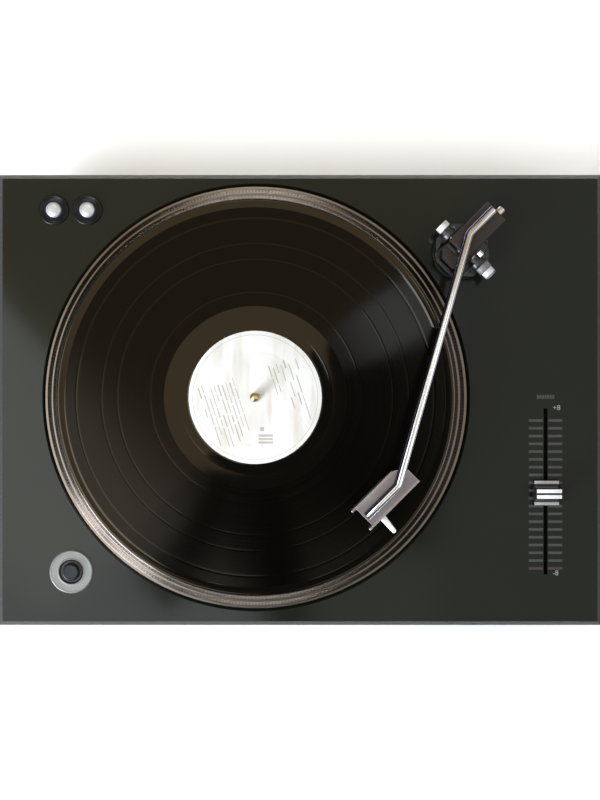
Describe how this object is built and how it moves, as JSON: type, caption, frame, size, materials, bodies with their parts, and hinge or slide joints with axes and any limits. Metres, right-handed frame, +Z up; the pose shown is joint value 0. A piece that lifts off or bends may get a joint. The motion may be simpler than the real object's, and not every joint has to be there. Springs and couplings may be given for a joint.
{
  "type": "turntable record player",
  "caption": "Direct-drive record player with a square-cornered plinth, round platter, bent tonearm with a block counterweight, pitch fader and push buttons.",
  "frame": {"origin": "centre of the footprint, on the surface that the feet stand on", "axes": "+Z up, +X to the right along the plinth's long side, +Y to the back"},
  "size_m": [0.469, 0.351, 0.1313],
  "materials": {
    "deck_paint": "satin dark olive-grey paint",
    "base_plastic": "fine-grained black moulding",
    "foot_plastic": "smooth black moulding",
    "foot_rubber": "matte",
    "screw_steel": "zinc plated",
    "bearing_brass": "turned",
    "circuit_board": "solder mask",
    "copper_wire": "enamelled copper",
    "core_steel": "laminated",
    "black_plastic": "satin",
    "gloss_black": "gloss",
    "jack_metal": "plated",
    "champagne_metal": "satin anodised",
    "button_silver": "silver, glossy",
    "platter_metal": "turned and polished",
    "mat_rubber": "ribbed",
    "vinyl": "grooved, glossy",
    "label_paper": "matte",
    "magnet_ferrite": "matte",
    "black_metal": "semi-gloss black",
    "bright_steel": "polished",
    "tube_chrome": "polished",
    "weight_metal": "dark bronze-brown, satin",
    "shell_metal": "tan-silver anodised",
    "white_plastic": "gloss",
    "grey_plastic": "satin"
  },
  "bodies": {
    "plinth": {"top_deck": "deck_paint", "bottom_cover": "base_plastic", "base_walls": "base_plastic", "base_posts": "base_plastic", "rear_panel": "base_plastic", "foot_front_left": "foot_plastic", "foot_front_right": "foot_plastic", "foot_rear_left": "foot_plastic", "foot_rear_right": "foot_plastic", "foot_pads": "foot_rubber", "foot_bolts": "screw_steel", "base_screws": "screw_steel", "motor_plate": "screw_steel", "bearing_housing": "bearing_brass", "thrust_plate": "screw_steel", "stator_board": "circuit_board", "stator_coils": "copper_wire", "main_board": "circuit_board", "transformer_core": "core_steel", "transformer_winding": "copper_wire", "transformer_bracket": "screw_steel", "terminal_tray": "black_plastic", "output_jacks": "jack_metal", "mains_inlet": "black_plastic", "start_ring": "champagne_metal", "start_switch": "black_plastic", "speed_33_ring": "gloss_black", "speed_45_ring": "gloss_black", "speed_switches": "black_plastic", "fader_housing": "core_steel", "arm_base": "black_metal", "arm_base_nut": "screw_steel", "arm_bearings": "bright_steel"},
    "turntable": {"platter": "platter_metal", "platter_mat": "mat_rubber", "vinyl_record": "vinyl", "record_label": "label_paper", "spindle": "bearing_brass", "rotor_plate": "core_steel", "magnet_ring": "magnet_ferrite"},
    "start_button": {"start_button": "gloss_black"},
    "speed_33_button": {"speed_33_button": "button_silver"},
    "speed_45_button": {"speed_45_button": "button_silver"},
    "pitch_fader": {"fader_lever": "black_plastic", "fader_cap": "gloss_black"},
    "gimbal": {"arm_shaft": "bright_steel", "gimbal_yoke": "black_metal", "pivot_screws": "bright_steel", "pivot_nuts": "bright_steel"},
    "anti_skate": {"anti_skate_knob": "grey_plastic"},
    "tonearm": {"arm_carrier": "weight_metal", "arm_tube": "tube_chrome", "weight_shaft": "bright_steel", "headshell": "shell_metal", "finger_lift": "white_plastic", "cartridge": "gloss_black", "cartridge_screws": "bright_steel", "stylus": "black_plastic"},
    "balance_weight": {"counterweight": "weight_metal"}
  },
  "joints": [
    {"name": "turntable_spin", "type": "hinge", "parent": "plinth", "child": "turntable", "pos_m": [-0.034, 0.002, 0.1], "axis": [0, 0, 1], "continuous": true},
    {"name": "arm_swing", "type": "hinge", "parent": "plinth", "child": "gimbal", "pos_m": [0.1235, 0.114, 0.095], "axis": [0, 0, 1], "range_deg": [-20, 24]},
    {"name": "arm_lift", "type": "hinge", "parent": "gimbal", "child": "tonearm", "pos_m": [0.1235, 0.114, 0.112], "axis": [-0.7071, 0.7071, 0], "range_deg": [0, 12]},
    {"name": "weight_slide", "type": "slide", "parent": "tonearm", "child": "balance_weight", "axis": [0.7071, 0.7071, 0], "range_m": [-0.0005, 0.005]},
    {"name": "anti_skate_turn", "type": "hinge", "parent": "gimbal", "child": "anti_skate", "pos_m": [0.13764, 0.09986, 0.112], "axis": [0.7071, -0.7071, 0], "range_deg": [0, 270]},
    {"name": "pitch_slide", "type": "slide", "parent": "plinth", "child": "pitch_fader", "axis": [0, 1, 0], "range_m": [-0.05, 0.05]},
    {"name": "start_button_press", "type": "slide", "parent": "plinth", "child": "start_button", "axis": [0, 0, -1], "range_m": [0, 0.0015], "stiffness_N_per_m": 600, "springref_m": -0.0008},
    {"name": "speed_33_button_press", "type": "slide", "parent": "plinth", "child": "speed_33_button", "axis": [0, 0, -1], "range_m": [0, 0.0015], "stiffness_N_per_m": 600, "springref_m": -0.0008},
    {"name": "speed_45_button_press", "type": "slide", "parent": "plinth", "child": "speed_45_button", "axis": [0, 0, -1], "range_m": [0, 0.0015], "stiffness_N_per_m": 600, "springref_m": -0.0008}
  ]
}
